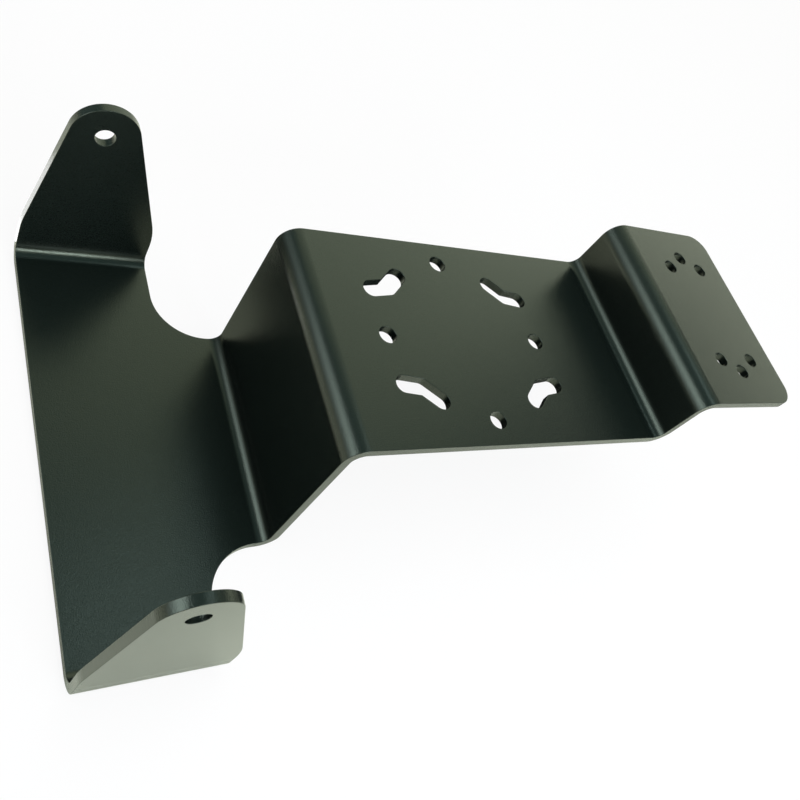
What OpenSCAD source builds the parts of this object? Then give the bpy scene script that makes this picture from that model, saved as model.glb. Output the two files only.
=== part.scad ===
// Speaker mounting bracket, folded from one sheet: a yoke with two ears,
// a raised middle plate and a raised end tab, joined by two square steps.
// Millimetres. The origin is the centre of the middle plate's hole circle,
// on its upper face. +X runs along the strip to the end tab and +Z is up.

/* [Sheet] */
// Thickness of the sheet
sheet = 3.4; // [2:0.2:4.4]
// Inside radius of every bend
bend_r = 4.5; // [2:0.5:7]
// Width of the strip that carries the middle plate and the end tab
strip_w = 90; // [80:1:115]

/* [Base plate] */
// Width over the outsides of the two ears
yoke_w = 172; // [156:1:240]
// Radius of the round cut-out beside the strip
cutout_r = 20; // [10:1:30]
// Straight edge between the cut-out and the first bend
neck_l = 0.3; // [0.1:0.1:30]

/* [Ears] */
// Length of an ear along its fold
ear_l = 49; // [42:1:70]
// Height of the pivot hole above the base plate's upper face
pivot_h = 62.4; // [44:0.2:100]
// Distance of the pivot hole from the open edge
pivot_in = 20; // [14:0.5:26]
// Diameter of the pivot hole
pivot_d = 7; // [4:0.5:12]
// Radius of the ear's round tip
ear_tip_r = 12; // [8:0.5:14]
// Height at which the ear's edges start to lean in
ear_knee_h = 16; // [10:0.5:22]
// Radius that rounds the edge there
ear_knee_r = 40; // [10:5:60]

/* [Steps] */
// Rise from the base plate to the middle plate, upper face to upper face
rise_1 = 70.6; // [24:0.2:120]
// Length from the first step's face to the second step's face
mid_l = 145; // [125:1:220]
// Rise from the middle plate to the end tab, upper face to upper face
rise_2 = 26.8; // [19:0.2:80]
// Length from the second step's face to the end of the tab
tab_l = 58.9; // [50:0.1:100]
// Radius of the end tab's two corners
tab_corner_r = 8.5; // [1:0.5:12]

/* [Middle plate holes] */
// Distance of the hole circle's centre from the first step's face
circle_in = 63.8; // [52:0.2:90]
// Diameter of the circle through the four hole centres
circle_d = 70; // [56:1:72]
// Diameter of the four round holes
hole_d = 7; // [3:0.5:8]

/* [Bent slots] */
// Width of the four bent slots
slot_w = 7; // [3:0.5:8]
// Outer end of a slot's middle line, along and across from the circle's centre
slot_outer = [35, 20.2]; // [18:0.1:38]
// Knee of a slot's middle line, measured the same way
slot_knee = [28, 21.3]; // [18:0.1:38]
// Inner end of a slot's middle line, measured the same way
slot_inner = [22, 26.8]; // [18:0.1:38]

/* [Tab holes] */
// Distance of the hole group's centre from the end of the tab
group_in = 24.8; // [18:0.2:32]
// Distance between the four corner holes, along the strip
corner_dx = 20.2; // [14:0.2:26]
// Distance between the four corner holes, across the strip
corner_dy = 48; // [30:1:60]
// Distance between the two outermost holes, across the strip
outer_dy = 59.4; // [52:0.2:70]
// Diameter of the six tab holes
tab_hole_d = 6.5; // [3:0.5:8]

/* [Hidden] */
$fn = 96;

// How far a cutter reaches past the sheet on each side
past = 2;
// Outside radius of every bend
bend_out_r = bend_r + sheet;
// Edges of the strip and of the flat between the ears, to one side
strip_half = strip_w / 2;
yoke_half = yoke_w / 2;
flat_half = yoke_half - bend_out_r;
// Faces of the steps and the tab's end, along the strip from the open edge
step_1_x = ear_l + cutout_r + neck_l + bend_r;
step_2_x = step_1_x + mid_l;
end_x = step_2_x + tab_l;
tab_z = rise_1 + rise_2;
// Height of an ear above the base plate's upper face
ear_h = pivot_h + ear_tip_r;
// Centres of the hole circle and of the tab's hole group, from the open edge
circle_x = step_1_x + circle_in;
group_x = end_x - group_in;

// Quarter ring of sheet, curving from below its centre to the right of it
module bend_section() {
    intersection() {
        difference() {
            circle(r = bend_out_r);
            circle(r = bend_r);
        }
        translate([0, -bend_out_r])
            square(bend_out_r);
    }
}

// A bend that turns the sheet up from a flat on its left
module bend_up(x, top) {
    translate([x - bend_r, top + bend_r])
        bend_section();
}

// A bend that lays the sheet flat again, to its right
module bend_flat(x, top) {
    translate([x + bend_out_r, top - bend_out_r])
        rotate(180)
            bend_section();
}

// Side view of the strip: two steps, the middle plate and the tab
module strip_section() {
    bend_up(step_1_x, 0);
    translate([step_1_x, bend_r])
        square([sheet, rise_1 - bend_r - bend_out_r]);
    bend_flat(step_1_x, rise_1);
    translate([step_1_x + bend_out_r, rise_1 - sheet])
        square([mid_l - bend_out_r - bend_r, sheet]);
    bend_up(step_2_x, rise_1);
    translate([step_2_x, rise_1 + bend_r])
        square([sheet, rise_2 - bend_r - bend_out_r]);
    bend_flat(step_2_x, tab_z);
    translate([step_2_x + bend_out_r, tab_z - sheet])
        square([tab_l - bend_out_r, sheet]);
}

// Outline of the tab's two round corners, in plan, as wide as the strip
module strip_plan() {
    translate([step_1_x - bend_out_r, -strip_half])
        square([end_x - tab_corner_r - step_1_x + bend_out_r, strip_w]);
    translate([end_x - 2 * tab_corner_r, tab_corner_r - strip_half])
        square([2 * tab_corner_r, strip_w - 2 * tab_corner_r]);
    for (side = [-1, 1])
        translate([end_x - tab_corner_r, side * (strip_half - tab_corner_r)])
            circle(r = tab_corner_r);
}

module strip() {
    intersection() {
        rotate([90, 0, 0])
            linear_extrude(strip_w, center = true)
                strip_section();
        translate([0, 0, -sheet - past])
            linear_extrude(tab_z + sheet + 2 * past)
                strip_plan();
    }
}

// Room beside the strip, in plan: two straight edges joined by a quarter circle
module cutout_plan() {
    translate([ear_l + cutout_r, strip_half + cutout_r])
        circle(r = cutout_r);
    translate([ear_l, strip_half + cutout_r])
        square([step_1_x, yoke_half]);
    translate([ear_l + cutout_r, strip_half])
        square([step_1_x, yoke_half]);
}

module base_plate() {
    translate([0, 0, -sheet])
        linear_extrude(sheet)
            difference() {
                translate([0, -flat_half])
                    square([step_1_x - bend_r, 2 * flat_half]);
                cutout_plan();
                mirror([0, 1])
                    cutout_plan();
            }
}

// End view of one folded-up ear
module ear_section() {
    translate([flat_half, bend_r])
        bend_section();
    translate([yoke_half - sheet, bend_r])
        square([sheet, ear_h]);
}

// Direction of an ear's leaning edge, which just touches the round tip.
// The edge starts at x on the fold, and side is 1 where it leans forward.
function lean(x, side) =
    let (dx = pivot_in - x, dz = pivot_h - ear_knee_h)
    atan2(dz, dx) + side * asin(ear_tip_r / norm([dx, dz]));

// Where that edge touches the tip
function touch(x, side) =
    let (a = lean(x, side) + side * 90)
    [pivot_in, pivot_h] + ear_tip_r * [cos(a), sin(a)];

// Distance from the knee's corner to each end of its rounding
function knee_reach(x, side) = ear_knee_r * tan(abs(lean(x, side) - 90) / 2);

// Lower and upper end of that rounding
function knee_low(x, side) = [x, ear_knee_h - knee_reach(x, side)];
function knee_high(x, side) =
    let (a = lean(x, side))
    [x, ear_knee_h] + knee_reach(x, side) * [cos(a), sin(a)];

// The sliver between the two ends' chord and the rounding
module knee_round(x, side) {
    intersection() {
        translate(knee_low(x, side) + [side * ear_knee_r, 0])
            circle(r = ear_knee_r);
        polygon([knee_low(x, side), knee_high(x, side), [x, ear_knee_h]]);
    }
}

// Side view of an ear: upright at the fold, leaning in to a round tip
module ear_outline() {
    polygon([
        [ear_l, -sheet - past],
        [0, -sheet - past],
        knee_low(0, 1),
        knee_high(0, 1),
        touch(0, 1),
        touch(ear_l, -1),
        knee_high(ear_l, -1),
        knee_low(ear_l, -1)
    ]);
    knee_round(0, 1);
    knee_round(ear_l, -1);
    translate([pivot_in, pivot_h])
        circle(r = ear_tip_r);
}

module ear() {
    intersection() {
        rotate([90, 0, 90])
            linear_extrude(ear_l)
                ear_section();
        rotate([90, 0, 0])
            linear_extrude(2 * yoke_w, center = true)
                ear_outline();
    }
}

// One straight arm of a slot, with round ends
module slot_arm(from, to) {
    reach = to - from;
    translate(from)
        rotate(atan2(reach[1], reach[0])) {
            translate([0, -slot_w / 2])
                square([norm(reach), slot_w]);
            circle(d = slot_w);
            translate([norm(reach), 0])
                circle(d = slot_w);
        }
}

module middle_holes() {
    translate([circle_x, 0, rise_1 - sheet - past]) {
        for (turn = [0:90:270])
            rotate(turn)
                translate([circle_d / 2, 0, 0])
                    cylinder(h = sheet + 2 * past, d = hole_d);
        for (flip_x = [0, 1], flip_y = [0, 1])
            mirror([flip_x, 0, 0])
                mirror([0, flip_y, 0])
                    linear_extrude(sheet + 2 * past) {
                        slot_arm(slot_outer, slot_knee);
                        slot_arm(slot_knee, slot_inner);
                    }
    }
}

module tab_holes() {
    corner = [corner_dx / 2, corner_dy / 2];
    spots = [corner, [0, outer_dy / 2], [-corner[0], corner[1]]];
    for (spot = spots, side = [-1, 1])
        translate([group_x + spot[0], side * spot[1], tab_z - sheet - past])
            cylinder(h = sheet + 2 * past, d = tab_hole_d);
}

module pivot_holes() {
    translate([pivot_in, 0, pivot_h])
        rotate([90, 0, 0])
            cylinder(h = yoke_w + 2 * past, d = pivot_d, center = true);
}

module bracket() {
    color([0.14, 0.15, 0.14])
        translate([-circle_x, 0, -rise_1])
            difference() {
                union() {
                    base_plate();
                    ear();
                    mirror([0, 1, 0])
                        ear();
                    strip();
                }
                middle_holes();
                tab_holes();
                pivot_holes();
            }
}

bracket();
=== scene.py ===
import math

import bmesh
import bpy
from mathutils import Matrix, Vector


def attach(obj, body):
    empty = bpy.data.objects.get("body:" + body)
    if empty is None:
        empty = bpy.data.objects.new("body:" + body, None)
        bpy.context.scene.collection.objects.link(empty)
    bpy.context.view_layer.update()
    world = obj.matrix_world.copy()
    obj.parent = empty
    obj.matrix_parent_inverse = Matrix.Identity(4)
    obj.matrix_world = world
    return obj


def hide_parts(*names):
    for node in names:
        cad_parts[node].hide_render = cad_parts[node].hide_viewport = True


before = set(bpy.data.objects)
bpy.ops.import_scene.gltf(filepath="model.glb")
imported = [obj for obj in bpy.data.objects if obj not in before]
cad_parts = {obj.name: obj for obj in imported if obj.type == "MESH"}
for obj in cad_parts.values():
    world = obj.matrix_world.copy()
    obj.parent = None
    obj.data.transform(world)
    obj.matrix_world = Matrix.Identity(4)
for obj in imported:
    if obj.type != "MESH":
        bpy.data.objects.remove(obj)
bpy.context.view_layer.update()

# Camera
# The photographer stood at the open corner of the yoke and looked down across the
# bracket towards the end tab. The picture was turned afterwards to fill its square.
bpy.ops.object.select_all(action="DESELECT")
bpy.ops.object.camera_add(location=(-0.192103, -0.140126, 0.192504))
camera = bpy.context.object
camera.name = "camera"
picture_right = Vector((0.825757, -0.292354, 0.482331))
picture_up = Vector((0.005479, 0.859293, 0.511455))
picture_back = picture_right.cross(picture_up)
turn = Matrix((picture_right, picture_up, picture_back)).transposed()
camera.rotation_euler = turn.to_euler()
camera.data.sensor_width = 36
camera.data.lens = 36.738
camera.data.clip_start = 0.01
camera.data.clip_end = 50
bpy.context.scene.camera = camera

# Table and studio
# The bracket stands on its base plate on a white paper table in a white room. Soft boxes
# stand to both sides and hang above it, and two panels light it from behind the tab.
table_top = -0.0742
bpy.ops.mesh.primitive_plane_add(size=12, location=(0, 0, table_top))
table = bpy.context.object
table.name = "white_table"
bpy.ops.object.transform_apply(location=True, rotation=True, scale=True)
paper = bpy.data.materials.new("white_paper")
paper.use_nodes = True
nodes = paper.node_tree.nodes
links = paper.node_tree.links
nodes.clear()

# The coat mirrors the paper a little brighter than it lies under the lamps
paper_lit = (0.86, 0.86, 0.86, 1)
paper_mirrored = (1.10, 1.14, 0.94, 1)
ray = nodes.new("ShaderNodeLightPath")
paper_tone = nodes.new("ShaderNodeMix")
paper_tone.data_type = "RGBA"
paper_tone.inputs[6].default_value = paper_lit
paper_tone.inputs[7].default_value = paper_mirrored
links.new(ray.outputs["Is Glossy Ray"], paper_tone.inputs[0])
matt = nodes.new("ShaderNodeBsdfDiffuse")
links.new(paper_tone.outputs[2], matt.inputs["Color"])

# The camera sees it almost pure white, with a faint shadow left
white_share = 0.88
pure_white = nodes.new("ShaderNodeEmission")
pure_white.inputs["Color"].default_value = (1, 1, 1, 1)
pure_white.inputs["Strength"].default_value = 1.0
white_seen = nodes.new("ShaderNodeMath")
white_seen.operation = "MULTIPLY"
white_seen.inputs[1].default_value = white_share
links.new(ray.outputs["Is Camera Ray"], white_seen.inputs[0])
blend = nodes.new("ShaderNodeMixShader")
links.new(white_seen.outputs[0], blend.inputs[0])
links.new(matt.outputs[0], blend.inputs[1])
links.new(pure_white.outputs[0], blend.inputs[2])

# From below the paper is clear, so that the bracket's underside can be looked at
from_below = nodes.new("ShaderNodeNewGeometry")
open_below = nodes.new("ShaderNodeBsdfTransparent")
one_sided = nodes.new("ShaderNodeMixShader")
links.new(from_below.outputs["Backfacing"], one_sided.inputs[0])
links.new(blend.outputs[0], one_sided.inputs[1])
links.new(open_below.outputs[0], one_sided.inputs[2])
surface = nodes.new("ShaderNodeOutputMaterial")
links.new(one_sided.outputs[0], surface.inputs["Surface"])
table.data.materials.append(paper)

# The room lights the bracket evenly. The coat mirrors it greener, and dimmer from the third
# reflection on, and the camera sees it white.
room = bpy.data.worlds.new("white_room")
bpy.context.scene.world = room
room.use_nodes = True
nodes = room.node_tree.nodes
links = room.node_tree.links
nodes.clear()
room_light = nodes.new("ShaderNodeBackground")
room_light.inputs["Color"].default_value = (1, 1, 1, 1)
room_light.inputs["Strength"].default_value = 0.25
room_shine = nodes.new("ShaderNodeBackground")
room_shine.inputs["Color"].default_value = (0.88, 1, 0.80, 1)
room_seen = nodes.new("ShaderNodeBackground")
room_seen.inputs["Color"].default_value = (1, 1, 1, 1)
room_seen.inputs["Strength"].default_value = 1.0
room_later_level = 0.30
room_first_extra = 0.72
ray = nodes.new("ShaderNodeLightPath")
first_mirrors = nodes.new("ShaderNodeMath")
first_mirrors.operation = "LESS_THAN"
first_mirrors.inputs[1].default_value = 2.5
links.new(ray.outputs["Ray Depth"], first_mirrors.inputs[0])
shine_level = nodes.new("ShaderNodeMath")
shine_level.operation = "MULTIPLY_ADD"
shine_level.inputs[1].default_value = room_first_extra
shine_level.inputs[2].default_value = room_later_level
links.new(first_mirrors.outputs[0], shine_level.inputs[0])
links.new(shine_level.outputs[0], room_shine.inputs["Strength"])
shine = nodes.new("ShaderNodeMixShader")
links.new(ray.outputs["Is Glossy Ray"], shine.inputs[0])
links.new(room_light.outputs[0], shine.inputs[1])
links.new(room_shine.outputs[0], shine.inputs[2])
clear_seen = nodes.new("ShaderNodeMath")
clear_seen.operation = "MAXIMUM"
links.new(ray.outputs["Is Camera Ray"], clear_seen.inputs[0])
links.new(ray.outputs["Is Transmission Ray"], clear_seen.inputs[1])
blend = nodes.new("ShaderNodeMixShader")
links.new(clear_seen.outputs[0], blend.inputs[0])
links.new(shine.outputs[0], blend.inputs[1])
links.new(room_seen.outputs[0], blend.inputs[2])
surface = nodes.new("ShaderNodeOutputWorld")
links.new(blend.outputs[0], surface.inputs["Surface"])


def way_to(round_to, up):
    """Gives the way to a spot that lies so many degrees round from +X and so many up."""
    heading = math.radians(round_to)
    rise = math.radians(up)
    return Vector(
        (math.cos(rise) * math.cos(heading), math.cos(rise) * math.sin(heading), math.sin(rise))
    )


# Each lamp has a name, degrees round and up to it, its distance, width and height, how bright
# it shines, and its tint. The ceiling panel lights the coat and is not mirrored in it.
soft_lamps = [
    ("right_soft_box", -84, 23, 1.0, 0.52, 0.32, 11.4, (0.88, 1.0, 1.07)),
    ("top_soft_box", 48, 75, 1.0, 0.19, 0.30, 2.3, (0.80, 1.0, 1.10)),
    ("back_panel", 68, 28, 1.6, 1.7, 1.1, 0.50, (0.94, 1.0, 0.80)),
    ("low_panel", 26, 13, 1.6, 1.04, 0.74, 0.55, (1.05, 1.0, 0.80)),
    ("ceiling_panel", -60, 80, 1.8, 2.2, 2.2, 2.1, (1.0, 1.0, 1.0)),
]
for name, round_to, up, away, wide, high, brightness, tint in soft_lamps:
    way = way_to(round_to, up)
    bpy.ops.object.light_add(type="AREA", location=way * away)
    lamp = bpy.context.object
    lamp.name = name
    lamp.rotation_euler = way.to_track_quat("Z", "Y").to_euler()
    lamp.data.shape = "RECTANGLE"
    lamp.data.size = wide
    lamp.data.size_y = high
    lamp.data.color = tint
    lamp.data.energy = brightness * math.pi * wide * high
    lamp.visible_camera = False
    lamp.visible_glossy = name != "ceiling_panel"

# The left soft box is brightest beside the camera and fades out towards its far side,
# its top and its foot
box_away = 1.8
way = way_to(168, 30) * box_away
bpy.ops.mesh.primitive_plane_add(size=1, location=way)
left_box = bpy.context.object
left_box.name = "left_soft_box"
left_box.rotation_euler = way.to_track_quat("Z", "Y").to_euler()
left_box.scale = (1.98, 2.07, 1)
box_place = tuple(way)
box_turn = tuple(left_box.rotation_euler)
box_size = tuple(left_box.scale)
bpy.ops.object.transform_apply(location=True, rotation=True, scale=True)
glow = bpy.data.materials.new("fading_soft_box")
glow.use_nodes = True
nodes = glow.node_tree.nodes
links = glow.node_tree.links
nodes.clear()
where = nodes.new("ShaderNodeTexCoord")
on_box = nodes.new("ShaderNodeMapping")
on_box.vector_type = "TEXTURE"
on_box.inputs["Location"].default_value = box_place
on_box.inputs["Rotation"].default_value = box_turn
on_box.inputs["Scale"].default_value = box_size
links.new(where.outputs["Object"], on_box.inputs["Vector"])
parts = nodes.new("ShaderNodeSeparateXYZ")
links.new(on_box.outputs["Vector"], parts.inputs[0])


def fade(source, stops):
    """Puts out a brightness that changes across the box by the given places and values."""
    middle = nodes.new("ShaderNodeMath")
    middle.operation = "ADD"
    middle.inputs[1].default_value = 0.5
    links.new(source, middle.inputs[0])
    ramp = nodes.new("ShaderNodeValToRGB")
    ramp.color_ramp.interpolation = "EASE"
    ramp.color_ramp.elements[0].position = stops[0][0]
    ramp.color_ramp.elements[0].color = (stops[0][1],) * 3 + (1,)
    ramp.color_ramp.elements[1].position = stops[-1][0]
    ramp.color_ramp.elements[1].color = (stops[-1][1],) * 3 + (1,)
    for position, value in stops[1:-1]:
        stop = ramp.color_ramp.elements.new(position)
        stop.color = (value,) * 3 + (1,)
    links.new(middle.outputs[0], ramp.inputs["Fac"])
    return ramp.outputs["Color"]


upward = fade(
    parts.outputs["Y"],
    ((0.0, 0.15), (0.25, 0.5), (0.45, 1.0), (0.66, 0.95), (0.82, 0.3), (1.0, 0.1)),
)
sideways = fade(parts.outputs["X"], ((0.0, 0.1), (0.5, 0.9), (1.0, 1.0)))
both = nodes.new("ShaderNodeMath")
both.operation = "MULTIPLY"
links.new(upward, both.inputs[0])
links.new(sideways, both.inputs[1])

# It shines at its full level in the first reflection and is dimmer in later ones
box_later_level = 1.4
box_first_extra = 5.2
ray = nodes.new("ShaderNodeLightPath")
first_mirror = nodes.new("ShaderNodeMath")
first_mirror.operation = "LESS_THAN"
first_mirror.inputs[1].default_value = 1.5
links.new(ray.outputs["Ray Depth"], first_mirror.inputs[0])
level_by_mirror = nodes.new("ShaderNodeMath")
level_by_mirror.operation = "MULTIPLY_ADD"
level_by_mirror.inputs[1].default_value = box_first_extra
level_by_mirror.inputs[2].default_value = box_later_level
links.new(first_mirror.outputs[0], level_by_mirror.inputs[0])
power = nodes.new("ShaderNodeMath")
power.operation = "MULTIPLY"
links.new(both.outputs[0], power.inputs[0])
links.new(level_by_mirror.outputs[0], power.inputs[1])
shone = nodes.new("ShaderNodeEmission")
shone.inputs["Color"].default_value = (0.85, 1.0, 1.06, 1)
links.new(power.outputs[0], shone.inputs["Strength"])
surface = nodes.new("ShaderNodeOutputMaterial")
links.new(shone.outputs[0], surface.inputs["Surface"])
left_box.data.materials.append(glow)
left_box.visible_camera = False
left_box.visible_shadow = False
left_box.visible_diffuse = False


def even_shade(name, shade):
    """Makes a glowing material of one plain shade, for a dark cloth or for a card of painted
    shade or glint.
    """
    plain = bpy.data.materials.new(name)
    plain.use_nodes = True
    nodes = plain.node_tree.nodes
    links = plain.node_tree.links
    nodes.clear()
    dim = nodes.new("ShaderNodeEmission")
    dim.inputs["Color"].default_value = (*shade, 1)
    dim.inputs["Strength"].default_value = 1.0
    surface = nodes.new("ShaderNodeOutputMaterial")
    links.new(dim.outputs[0], surface.inputs["Surface"])
    return plain


# Dark cloths hung beyond the lamps give the glossy coat its dark lines beside the bright ones.
# Each has a name, degrees round and up to it, its distance, width and height, and its shade.
dark_cloths = [
    ("cloth_overhead", -110, 82, 1.5, 2.6, 2.2, (0.26, 0.40, 0.42)),
    ("cloth_left", 121, 22, 2.2, 1.5, 1.9, (0.26, 0.38, 0.36)),
    ("cloth_right", -4, 40, 2.2, 2.2, 0.68, (0.27, 0.30, 0.27)),
]
for name, round_to, up, away, wide, high, shade in dark_cloths:
    way = way_to(round_to, up)
    bpy.ops.mesh.primitive_plane_add(size=1, location=way * away)
    hung = bpy.context.object
    hung.name = name
    hung.rotation_euler = way.to_track_quat("Z", "Y").to_euler()
    hung.scale = (wide, high, 1)
    bpy.ops.object.transform_apply(location=True, rotation=True, scale=True)
    hung.data.materials.append(even_shade(name, shade))
    hung.visible_camera = False
    hung.visible_diffuse = False
    hung.visible_shadow = False

# Cards on the paper that only the coat mirrors, all painted light: black ones under the middle
# plate and the tab are painted shadow that darkens the walls of their holes, a grey one in the
# far cut-out is painted shade, and a bright one is a painted glint that lightens the far ear's
# front edge. Each has a name, its four sides, and its shade.
card_height = 0.0001
painted_light_cards = [
    ("painted_shadow_by_step", -0.060, -0.030, -0.044, 0.060, (0.02, 0.02, 0.02)),
    ("painted_shadow_under_plates", -0.030, 0.200, -0.055, 0.160, (0.02, 0.02, 0.02)),
    ("painted_shadow_past_tab", 0.200, 0.400, -0.078, 0.160, (0.02, 0.02, 0.02)),
    ("painted_shade_in_cut_out", -0.0886, -0.060, 0.030, 0.110, (0.38, 0.42, 0.32)),
    ("painted_glint_by_far_ear", -0.190, -0.120, 0.090, 0.147, (3.6, 3.6, 3.6)),
]
for name, x_from, x_to, y_from, y_to, shade in painted_light_cards:
    middle = ((x_from + x_to) / 2, (y_from + y_to) / 2, table_top + card_height)
    bpy.ops.mesh.primitive_plane_add(size=1, location=middle)
    laid = bpy.context.object
    laid.name = name
    laid.scale = (x_to - x_from, y_to - y_from, 1)
    bpy.ops.object.transform_apply(location=True, rotation=True, scale=True)
    laid.data.materials.append(even_shade(name, shade))
    laid.visible_camera = False
    laid.visible_diffuse = False
    laid.visible_shadow = False

# Folded bracket
# One piece of 3.4 mm mild steel sheet, laser cut with its slots and holes, folded through
# six square bends on a press brake, then powder coated satin black all over.
steel = 0.0034
bend_in = 0.0045
bend_out = bend_in + steel
base_top = -0.0706
mid_top = 0.0
tab_top = 0.0268
base_front = -0.1376
ear_rear = -0.0886
yoke_half = 0.086
flat_half = yoke_half - bend_out
ear_face = yoke_half - steel
strip_half = 0.045
cut_out = 0.020
riser_1 = -0.0638
riser_2 = 0.0812
tab_end = 0.1401
tab_corner = 0.0085
tip = Vector((-0.1176, 0, -0.0082))
tip_r = 0.012
knee_z = base_top + 0.016
knee_r = 0.040

# How many straight lines stand in for each curve of the outlines and the bends
cut_out_lines = 40
inside_bend_lines = 20
outside_bend_lines = 28
hole_lines = 64
slot_end_lines = 32
slot_knee_lines = 10
tab_corner_lines = 24
tab_hole_lines = 60
tip_lines = 64
front_knee_lines = 6
rear_knee_lines = 8

# Triangles that are turned by less than this against each other become one flat face
flat_angle = 0.002

# The mesh starts empty. The sheet's upper face is drawn from lines and folded out of them.
bpy.ops.object.select_all(action="DESELECT")
bpy.ops.mesh.primitive_plane_add(size=0.001, location=(0, 0, 0))
bracket = bpy.context.object
bracket.name = "folded_bracket"
bpy.ops.object.mode_set(mode="EDIT")
bpy.ops.mesh.select_all(action="SELECT")
bpy.ops.mesh.delete(type="VERT")
bpy.context.tool_settings.mesh_select_mode = (True, False, False)


def put_point(place):
    """Starts an outline with one loose point."""
    bpy.ops.mesh.select_all(action="DESELECT")
    sheet = bmesh.from_edit_mesh(bracket.data)
    point = sheet.verts.new(place)
    point.select = True
    bmesh.update_edit_mesh(bracket.data)


def line_to(place):
    """Draws a straight edge from the outline's last point."""
    sheet = bmesh.from_edit_mesh(bracket.data)
    last = [v for v in sheet.verts if v.select][0]
    step = Vector(place) - last.co
    bpy.ops.mesh.extrude_region_move(TRANSFORM_OT_translate={"value": step})


def turn_about(centre, degrees, axis, lines):
    """Sweeps what is selected round an axis, anticlockwise when the axis points at the eye."""
    bpy.ops.mesh.spin(steps=lines, angle=-math.radians(degrees), center=centre, axis=axis)


def pick(test):
    """Selects the points of the sheet that the test is true for."""
    bpy.ops.mesh.select_all(action="DESELECT")
    sheet = bmesh.from_edit_mesh(bracket.data)
    for v in sheet.verts:
        v.select = test(v.co)
    sheet.select_flush(True)
    bmesh.update_edit_mesh(bracket.data)


def level(a, b):
    """Says whether two places agree to two thousandths of a millimetre."""
    return abs(a - b) < 2e-6


def close_up():
    """Joins the ends that meet."""
    bpy.ops.mesh.select_all(action="SELECT")
    bpy.ops.mesh.remove_doubles(threshold=1e-5)
    bpy.ops.mesh.select_all(action="DESELECT")


along = (1, 0, 0)
across = (0, 1, 0)
upright = (0, 0, 1)

# Base plate between the folds, with a round cut-out beside the strip on each side
put_point((base_front, -flat_half, base_top))
line_to((ear_rear, -flat_half, base_top))
line_to((ear_rear, -strip_half - cut_out, base_top))
turn_about((ear_rear + cut_out, -strip_half - cut_out, base_top), -90, upright, cut_out_lines)
line_to((riser_1 - bend_in, -strip_half, base_top))
line_to((riser_1 - bend_in, strip_half, base_top))
line_to((ear_rear + cut_out, strip_half, base_top))
turn_about((ear_rear + cut_out, strip_half + cut_out, base_top), -90, upright, cut_out_lines)
line_to((ear_rear, flat_half, base_top))
line_to((base_front, flat_half, base_top))
line_to((base_front, -flat_half, base_top))
close_up()
pick(lambda p: True)
bpy.ops.mesh.edge_face_add()

# First step: the strip turns up at its foot, rises, and turns flat again at its top
pick(lambda p: level(p.x, riser_1 - bend_in))
turn_about((riser_1 - bend_in, 0, base_top + bend_in), -90, across, inside_bend_lines)
bpy.ops.mesh.extrude_region_move(
    TRANSFORM_OT_translate={"value": (0, 0, mid_top - bend_out - base_top - bend_in)}
)
turn_about((riser_1 + bend_out, 0, mid_top - bend_out), 90, across, outside_bend_lines)

# Middle plate's outline
mid_start = riser_1 + bend_out
mid_end = riser_2 - bend_in
put_point((mid_start, -strip_half, mid_top))
line_to((mid_end, -strip_half, mid_top))
line_to((mid_end, strip_half, mid_top))
line_to((mid_start, strip_half, mid_top))
line_to((mid_start, -strip_half, mid_top))

# Four round holes on a 70 mm circle
hole_r = 0.0035
circle_r = 0.035
for x, y in ((circle_r, 0), (0, circle_r), (-circle_r, 0), (0, -circle_r)):
    bpy.ops.mesh.primitive_circle_add(
        vertices=hole_lines, radius=hole_r, fill_type="NOTHING", location=(x, y, mid_top)
    )

# Four bent slots between the holes, each the mirror of its neighbour. A slot's middle line
# runs from its outer end over its knee to its inner end.
slot_r = 0.0035
outer = Vector((0.0350, 0.0202))
knee = Vector((0.0280, 0.0213))
inner = Vector((0.0220, 0.0268))
first_arm = (knee - outer).normalized()
second_arm = (inner - knee).normalized()
first_side = Vector((-first_arm.y, first_arm.x)) * slot_r
second_side = Vector((-second_arm.y, second_arm.x)) * slot_r
knee_turn = math.degrees(second_arm.angle_signed(first_arm))
crotch = knee - (first_side + second_side) / (1 + first_side.dot(second_side) / slot_r ** 2)
for flip_x in (1, -1):
    for flip_y in (1, -1):
        hand = flip_x * flip_y

        def spot(p):
            """Puts a point of the first slot's outline where this slot has it."""
            return (flip_x * p.x, flip_y * p.y, mid_top)

        put_point(spot(outer + first_side))
        line_to(spot(knee + first_side))
        turn_about(spot(knee), hand * knee_turn, upright, slot_knee_lines)
        line_to(spot(inner + second_side))
        turn_about(spot(inner), -180 * hand, upright, slot_end_lines)
        line_to(spot(crotch))
        line_to(spot(outer - first_side))
        turn_about(spot(outer), -180 * hand, upright, slot_end_lines)
close_up()
pick(lambda p: level(p.z, mid_top))
bpy.ops.mesh.fill(use_beauty=True)
bpy.ops.mesh.dissolve_limited(angle_limit=flat_angle)

# Second step
pick(lambda p: level(p.x, mid_end) and level(p.z, mid_top))
turn_about((mid_end, 0, mid_top + bend_in), -90, across, inside_bend_lines)
bpy.ops.mesh.extrude_region_move(
    TRANSFORM_OT_translate={"value": (0, 0, tab_top - bend_out - mid_top - bend_in)}
)
turn_about((riser_2 + bend_out, 0, tab_top - bend_out), 90, across, outside_bend_lines)

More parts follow.
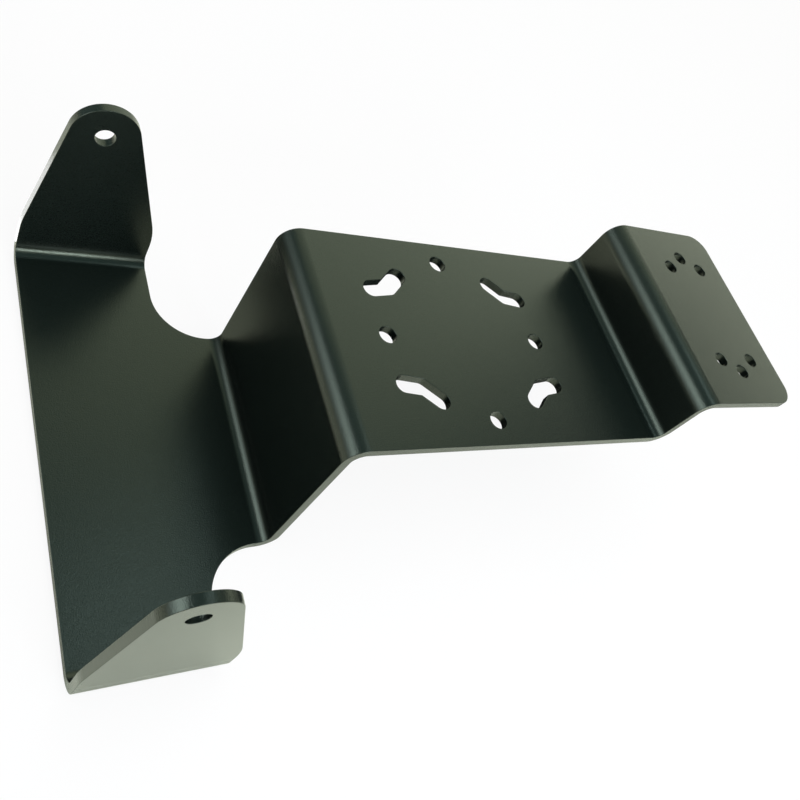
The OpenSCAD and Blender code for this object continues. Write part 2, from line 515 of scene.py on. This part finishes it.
# End tab with two round corners and six holes
tab_start = riser_2 + bend_out
put_point((tab_start, -strip_half, tab_top))
line_to((tab_end - tab_corner, -strip_half, tab_top))
corner_x = tab_end - tab_corner
turn_about((corner_x, -strip_half + tab_corner, tab_top), 90, upright, tab_corner_lines)
line_to((tab_end, strip_half - tab_corner, tab_top))
turn_about((corner_x, strip_half - tab_corner, tab_top), 90, upright, tab_corner_lines)
line_to((tab_start, strip_half, tab_top))
line_to((tab_start, -strip_half, tab_top))
tab_hole_r = 0.00325
group_x = 0.1153
holes_in_group = ((-0.0101, 0.0240), (0.0101, 0.0240), (0, 0.0297))
for x, y in holes_in_group:
    for side in (-1, 1):
        bpy.ops.mesh.primitive_circle_add(
            vertices=tab_hole_lines, radius=tab_hole_r, fill_type="NOTHING",
            location=(group_x + x, side * y, tab_top)
        )
close_up()
pick(lambda p: level(p.z, tab_top))
bpy.ops.mesh.fill(use_beauty=True)
bpy.ops.mesh.dissolve_limited(angle_limit=flat_angle)


def leaning_edge(foot_x, forward):
    """Gives an edge's knee, its tilt and way, the knee's reach, and where it meets the tip."""
    corner = Vector((foot_x, knee_z))
    to_tip = Vector((tip.x, tip.z)) - corner
    tilt = math.atan2(to_tip.y, to_tip.x) + forward * math.asin(tip_r / to_tip.length)
    lean = Vector((math.cos(tilt), math.sin(tilt)))
    reach = knee_r * math.tan(abs(tilt - math.pi / 2) / 2)
    touch = Vector((tip.x, tip.z)) + tip_r * Vector((-lean.y, lean.x)) * forward
    return corner, tilt, lean, reach, touch


# Ears: upright at the fold, leaning in from the knees, and touching the round tip
front_corner, front_tilt, _, front_reach, front_touch = leaning_edge(base_front, 1)
rear_corner, rear_tilt, rear_lean, rear_reach, _ = leaning_edge(ear_rear, -1)
front_knee_turn = math.degrees(math.pi / 2 - front_tilt)
rear_knee_turn = math.degrees(rear_tilt - math.pi / 2)
tip_turn = 180 - math.degrees(rear_tilt - front_tilt)
fold_z = base_top + bend_in
for side in (-1, 1):
    pick(lambda p: level(p.y, side * flat_half) and level(p.z, base_top))
    turn_about((0, side * flat_half, fold_z), side * 90, along, inside_bend_lines)
    face_y = side * ear_face
    front_knee_centre = (base_front + knee_r, face_y, front_corner.y - front_reach)
    rear_knee_centre = (ear_rear - knee_r, face_y, rear_corner.y - rear_reach)
    rear_knee_top = rear_corner + rear_reach * rear_lean
    put_point((base_front, face_y, fold_z))
    line_to((base_front, face_y, front_corner.y - front_reach))
    turn_about(front_knee_centre, front_knee_turn, across, front_knee_lines)
    line_to((front_touch.x, face_y, front_touch.y))
    turn_about((tip.x, face_y, tip.z), tip_turn, across, tip_lines)
    line_to((rear_knee_top.x, face_y, rear_knee_top.y))
    turn_about(rear_knee_centre, rear_knee_turn, across, rear_knee_lines)
    line_to((ear_rear, face_y, fold_z))
    line_to((base_front, face_y, fold_z))
    bpy.ops.mesh.primitive_circle_add(
        vertices=hole_lines, radius=hole_r, fill_type="NOTHING",
        location=(tip.x, face_y, tip.z), rotation=(math.pi / 2, 0, 0)
    )
    close_up()
    pick(lambda p: level(p.y, face_y))
    bpy.ops.mesh.fill(use_beauty=True)
    bpy.ops.mesh.dissolve_limited(angle_limit=flat_angle)

# The drawn faces look up and into the yoke, so that the steel comes to lie behind them
bpy.ops.mesh.select_all(action="SELECT")
bpy.ops.mesh.normals_make_consistent(inside=False)
bpy.ops.object.mode_set(mode="OBJECT")
if bracket.data.polygons[0].normal.z < 0:
    bracket.data.flip_normals()

# The sheet gets its thickness behind the drawn faces, and the cut edges are dulled by the coat
thickness = bracket.modifiers.new("thickness", "SOLIDIFY")
thickness.thickness = steel
thickness.offset = -1
thickness.use_even_offset = True
thickness.use_quality_normals = True
bpy.ops.object.modifier_apply(modifier="thickness")
dulled = bracket.modifiers.new("dulled_edges", "BEVEL")
dulled.width = 0.0002
dulled.segments = 4
dulled.limit_method = "ANGLE"
dulled.angle_limit = math.radians(60)
dulled.use_clamp_overlap = False
dulled.face_strength_mode = "FSTR_ALL"
bpy.ops.object.modifier_apply(modifier="dulled_edges")
bpy.ops.object.select_all(action="DESELECT")
bracket.select_set(True)
bpy.ops.object.shade_smooth_by_angle(angle=math.radians(30))
flats = bracket.modifiers.new("true_flats", "WEIGHTED_NORMAL")
flats.mode = "FACE_AREA"
flats.weight = 50
flats.keep_sharp = True
flats.use_face_influence = True
bpy.ops.object.modifier_apply(modifier="true_flats")

# Powder coat: near black and satin, with the fine grain of baked powder, the slower waves
# of its flow, and clouds of a little more or less shine
grain_in_roughness = 0.06
clouds_in_roughness = 0.05
least_roughness = 0.11
flow_in_relief = 0.28
haze_share = 0.18
coat = bpy.data.materials.new("satin_black_powder_coat")
coat.use_nodes = True
nodes = coat.node_tree.nodes
links = coat.node_tree.links
nodes.clear()
place = nodes.new("ShaderNodeTexCoord")
grain = nodes.new("ShaderNodeTexNoise")
grain.inputs["Scale"].default_value = 2000
grain.inputs["Detail"].default_value = 2
grain.inputs["Roughness"].default_value = 0.6
links.new(place.outputs["Object"], grain.inputs["Vector"])
flow = nodes.new("ShaderNodeTexNoise")
flow.inputs["Scale"].default_value = 320
flow.inputs["Detail"].default_value = 1
links.new(place.outputs["Object"], flow.inputs["Vector"])
clouds = nodes.new("ShaderNodeTexNoise")
clouds.inputs["Scale"].default_value = 28
clouds.inputs["Detail"].default_value = 3
links.new(place.outputs["Object"], clouds.inputs["Vector"])

tone = nodes.new("ShaderNodeValToRGB")
tone.color_ramp.elements[0].position = 0.3
tone.color_ramp.elements[0].color = (0.0032, 0.0054, 0.0046, 1)
tone.color_ramp.elements[1].position = 0.7
tone.color_ramp.elements[1].color = (0.0053, 0.0089, 0.0077, 1)
links.new(grain.outputs["Fac"], tone.inputs["Fac"])

grain_share = nodes.new("ShaderNodeMath")
grain_share.operation = "MULTIPLY_ADD"
grain_share.inputs[1].default_value = grain_in_roughness
grain_share.inputs[2].default_value = least_roughness
links.new(grain.outputs["Fac"], grain_share.inputs[0])
satin = nodes.new("ShaderNodeMath")
satin.operation = "MULTIPLY_ADD"
satin.inputs[1].default_value = clouds_in_roughness
links.new(clouds.outputs["Fac"], satin.inputs[0])
links.new(grain_share.outputs[0], satin.inputs[2])

relief = nodes.new("ShaderNodeMath")
relief.operation = "MULTIPLY_ADD"
relief.inputs[1].default_value = flow_in_relief
links.new(flow.outputs["Fac"], relief.inputs[0])
links.new(grain.outputs["Fac"], relief.inputs[2])

# The press brake's die left a faint line along the outside of each ear, above its fold. Its
# sheen is painted into the coat's colour as a lighter line, a painted highlight.
die_line_z = -0.0625
die_line_half = 0.0012
die_line_sheen_colour = (0.12, 0.13, 0.11, 1)
outer_skin = yoke_half - 0.0003
place_parts = nodes.new("ShaderNodeSeparateXYZ")
links.new(place.outputs["Object"], place_parts.inputs[0])
over_line = nodes.new("ShaderNodeMath")
over_line.operation = "SUBTRACT"
over_line.inputs[1].default_value = die_line_z
links.new(place_parts.outputs["Z"], over_line.inputs[0])
off_line = nodes.new("ShaderNodeMath")
off_line.operation = "ABSOLUTE"
links.new(over_line.outputs[0], off_line.inputs[0])
line_mask = nodes.new("ShaderNodeMapRange")
line_mask.interpolation_type = "SMOOTHSTEP"
line_mask.inputs["From Min"].default_value = 0
line_mask.inputs["From Max"].default_value = die_line_half
line_mask.inputs["To Min"].default_value = 1
line_mask.inputs["To Max"].default_value = 0
links.new(off_line.outputs[0], line_mask.inputs["Value"])
sideways_off = nodes.new("ShaderNodeMath")
sideways_off.operation = "ABSOLUTE"
links.new(place_parts.outputs["Y"], sideways_off.inputs[0])
on_outside = nodes.new("ShaderNodeMath")
on_outside.operation = "GREATER_THAN"
on_outside.inputs[1].default_value = outer_skin
links.new(sideways_off.outputs[0], on_outside.inputs[0])
die_line = nodes.new("ShaderNodeMath")
die_line.operation = "MULTIPLY"
links.new(line_mask.outputs["Result"], die_line.inputs[0])
links.new(on_outside.outputs[0], die_line.inputs[1])
uneven_line = nodes.new("ShaderNodeMath")
uneven_line.operation = "MULTIPLY"
links.new(die_line.outputs[0], uneven_line.inputs[0])
links.new(flow.outputs["Fac"], uneven_line.inputs[1])
# The lighter colour along the die line is a painted highlight
tone_with_die_line_sheen = nodes.new("ShaderNodeMix")
tone_with_die_line_sheen.data_type = "RGBA"
tone_with_die_line_sheen.inputs[7].default_value = die_line_sheen_colour
links.new(uneven_line.outputs[0], tone_with_die_line_sheen.inputs[0])
links.new(tone.outputs["Color"], tone_with_die_line_sheen.inputs[6])
bump = nodes.new("ShaderNodeBump")
bump.inputs["Strength"].default_value = 1.0
bump.inputs["Distance"].default_value = 0.00007
links.new(relief.outputs[0], bump.inputs["Height"])

# The coat's skin mirrors sharply, and a share of it scatters the light wider, as a haze
skin = nodes.new("ShaderNodeBsdfPrincipled")
haze = nodes.new("ShaderNodeBsdfPrincipled")
for layer in (skin, haze):
    layer.inputs["IOR"].default_value = 1.5
    layer.inputs["Specular Tint"].default_value = (0.93, 1.0, 0.82, 1)
    links.new(tone_with_die_line_sheen.outputs[2], layer.inputs["Base Color"])
    links.new(bump.outputs["Normal"], layer.inputs["Normal"])
links.new(satin.outputs[0], skin.inputs["Roughness"])
haze.inputs["Roughness"].default_value = 0.38
skin_and_haze = nodes.new("ShaderNodeMixShader")
skin_and_haze.inputs[0].default_value = haze_share
links.new(skin.outputs["BSDF"], skin_and_haze.inputs[1])
links.new(haze.outputs["BSDF"], skin_and_haze.inputs[2])
surface = nodes.new("ShaderNodeOutputMaterial")
links.new(skin_and_haze.outputs[0], surface.inputs["Surface"])
bracket.data.materials.clear()
bracket.data.materials.append(coat)

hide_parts("bracket")
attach(bracket, "root")

bpy.context.scene.view_settings.view_transform = "Standard"
